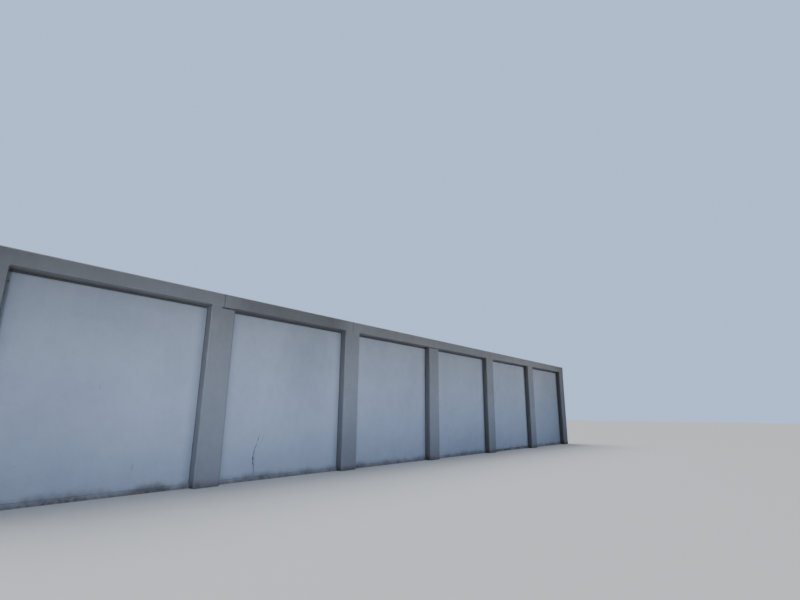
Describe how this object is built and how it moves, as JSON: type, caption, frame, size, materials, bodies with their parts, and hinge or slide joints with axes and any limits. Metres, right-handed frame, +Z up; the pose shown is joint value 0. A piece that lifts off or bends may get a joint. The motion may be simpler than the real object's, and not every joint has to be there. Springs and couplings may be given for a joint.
{
  "type": "concrete security wall",
  "caption": "Straight run of tall precast concrete wall: square posts with slotted recessed panels on low ground beams, tied along the top by flush cap beams.",
  "frame": {"origin": "centre of the run at ground level, under the middle post", "axes": "+X along the wall to the right as seen from the street, +Y from the street face to the back, +Z up"},
  "size_m": [22.408, 0.5, 3.66],
  "materials": {
    "grey_paint": "matt warm grey masonry paint on precast concrete",
    "white_paint": "matt off-white masonry paint on precast concrete",
    "bare_concrete": "bare cast concrete",
    "mortar": "cement mortar",
    "joint_filler": "weathered grey-brown compressible joint filler",
    "sealant": "painted-over joint sealant"
  },
  "bodies": {
    "root": {"post_1": "grey_paint", "mortar_bed_1": "mortar", "post_2": "grey_paint", "mortar_bed_2": "mortar", "post_3": "grey_paint", "mortar_bed_3": "mortar", "post_4": "grey_paint", "mortar_bed_4": "mortar", "post_5": "grey_paint", "mortar_bed_5": "mortar", "post_6": "grey_paint", "mortar_bed_6": "mortar", "post_7": "grey_paint", "mortar_bed_7": "mortar", "ground_beam_1": "bare_concrete", "panel_1": "white_paint", "head_joint_1": "joint_filler", "cap_beam_1": "grey_paint", "ground_beam_2": "bare_concrete", "panel_2": "white_paint", "head_joint_2": "joint_filler", "cap_beam_2": "grey_paint", "ground_beam_3": "bare_concrete", "panel_3": "white_paint", "head_joint_3": "joint_filler", "cap_beam_3": "grey_paint", "ground_beam_4": "bare_concrete", "panel_4": "white_paint", "head_joint_4": "joint_filler", "cap_beam_4": "grey_paint", "ground_beam_5": "bare_concrete", "panel_5": "white_paint", "head_joint_5": "joint_filler", "cap_beam_5": "grey_paint", "ground_beam_6": "bare_concrete", "panel_6": "white_paint", "head_joint_6": "joint_filler", "cap_beam_6": "grey_paint", "cap_joint_2": "sealant", "cap_joint_3": "sealant", "cap_joint_4": "sealant", "cap_joint_5": "sealant", "cap_joint_6": "sealant"}
  },
  "joints": []
}
